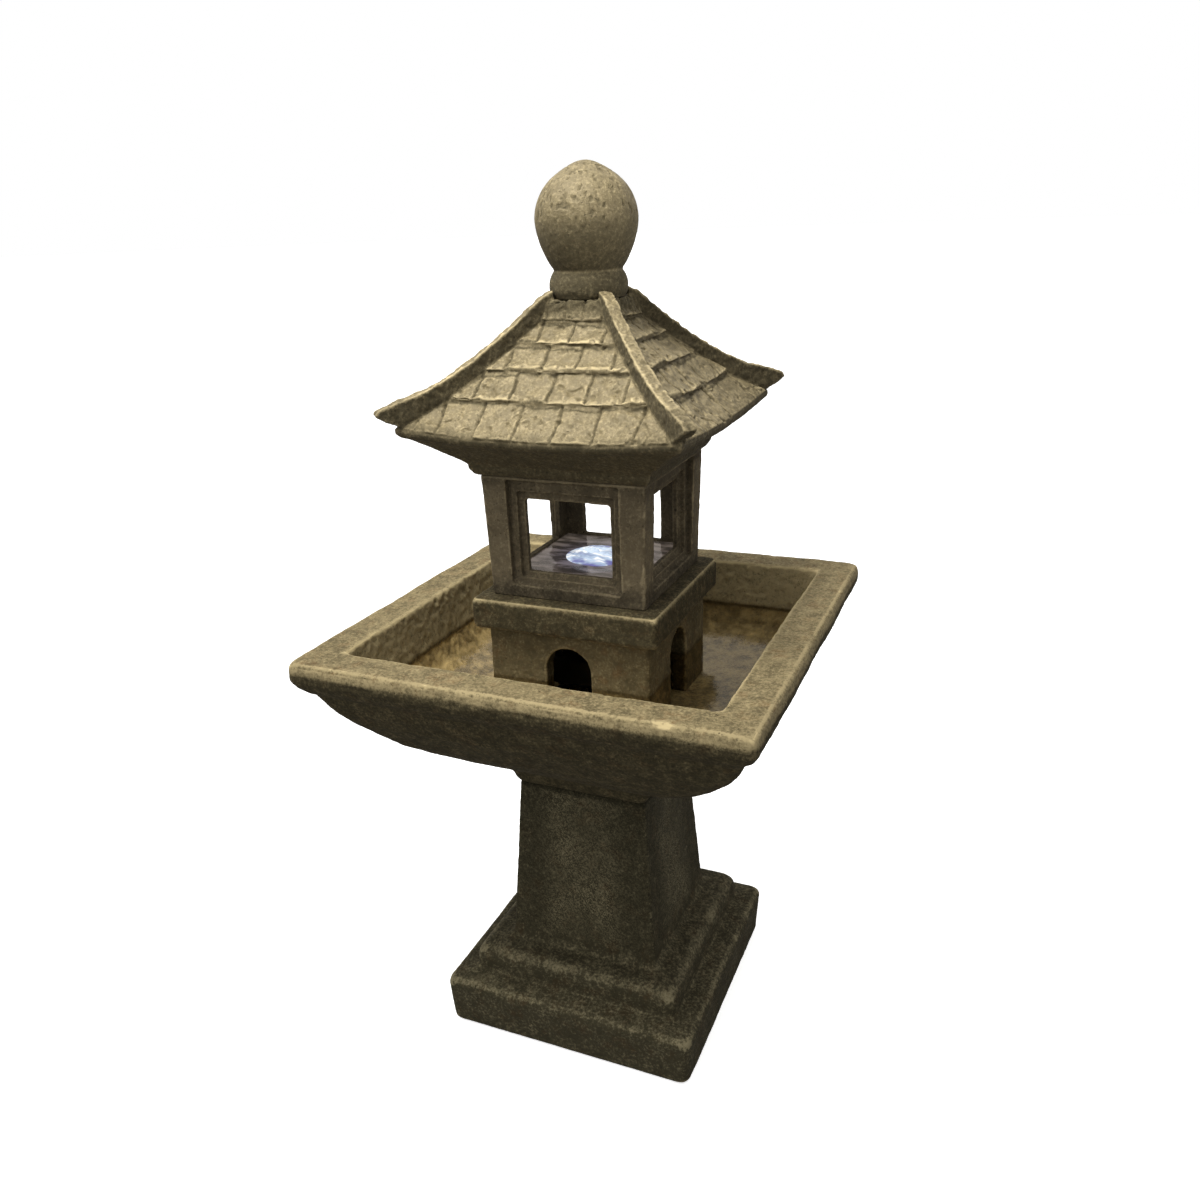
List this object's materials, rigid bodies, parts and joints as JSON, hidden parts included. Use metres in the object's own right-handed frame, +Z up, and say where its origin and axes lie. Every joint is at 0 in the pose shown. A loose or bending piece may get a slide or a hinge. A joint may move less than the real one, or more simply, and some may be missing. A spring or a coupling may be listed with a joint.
{
  "type": "stone lantern fountain",
  "caption": "Square pagoda lantern in cast stone on a pedestal basin, with a tiled roof, a ball finial, a lit spout and a pump under an arched cover.",
  "frame": {"origin": "centre of the square footprint, on the ground under the pedestal", "axes": "+Z up; -Y the front face; the pump's shaft lies along X"},
  "size_m": [0.5708, 0.5708, 1.119],
  "materials": {
    "dark_stone": "rough cast stone, weathered olive brown",
    "stone": "rough cast stone, worn edges",
    "pale_stone": "rough cast stone, beige, worn edges",
    "steel": "plain",
    "rubber": "matt",
    "clear_plastic": "flexible clear vinyl",
    "black_plastic": "moulded, fine grain",
    "white_plastic": "moulded",
    "blue_plastic": "moulded",
    "led_board": "white solder mask",
    "lens": "clear moulded",
    "copper_winding": "enamelled wire",
    "resin": "cast resin",
    "magnet": "plastic-bonded ferrite",
    "shaft_ceramic": "ground"
  },
  "bodies": {
    "pedestal": {"pedestal": "dark_stone"},
    "basin": {"basin": "stone", "pump_body": "black_plastic", "motor_core": "steel", "motor_coil": "copper_winding", "potting_resin": "resin", "pump_volute": "black_plastic", "volute_seal": "rubber", "rotor_shaft": "shaft_ceramic", "shaft_bush_rear": "rubber", "shaft_bush_front": "rubber", "suction_cup_1": "rubber", "suction_cup_2": "rubber", "suction_cup_3": "rubber", "suction_cup_4": "rubber"},
    "bung": {"basin_bung": "rubber"},
    "impeller": {"impeller": "white_plastic", "rotor_magnet": "magnet"},
    "flow_dial": {"flow_dial": "blue_plastic"},
    "strainer": {"pump_strainer": "black_plastic"},
    "lantern": {"pump_cover": "stone", "light_chamber": "stone", "spout_grommet": "rubber", "riser_hose": "clear_plastic", "spout_nozzle": "black_plastic", "overflow_tube": "black_plastic", "led_housing": "black_plastic", "led_board": "led_board", "led_lens": "lens", "led_lead": "rubber", "led_plug": "black_plastic"},
    "roof": {"roof": "pale_stone", "finial": "pale_stone", "finial_dowel": "steel"}
  },
  "joints": [
    {"name": "basin_lift", "type": "slide", "parent": "pedestal", "child": "basin", "axis": [0, 0, 1], "range_m": [0, 0.05]},
    {"name": "lantern_lift", "type": "slide", "parent": "basin", "child": "lantern", "axis": [0, 0, 1], "range_m": [0, 0.13]},
    {"name": "roof_lift", "type": "slide", "parent": "lantern", "child": "roof", "axis": [0, 0, 1], "range_m": [0, 0.06]},
    {"name": "bung_pull", "type": "slide", "parent": "basin", "child": "bung", "axis": [0, 0, 1], "range_m": [0, 0.04]},
    {"name": "impeller_spin", "type": "hinge", "parent": "basin", "child": "impeller", "pos_m": [0, 0, 0.491], "axis": [1, 0, 0], "continuous": true},
    {"name": "flow_dial_turn", "type": "hinge", "parent": "basin", "child": "flow_dial", "pos_m": [0.0097, 0, 0.491], "axis": [1, 0, 0], "range_deg": [0, 45]},
    {"name": "strainer_pull", "type": "slide", "parent": "basin", "child": "strainer", "axis": [1, 0, 0], "range_m": [0, 0.02]}
  ]
}
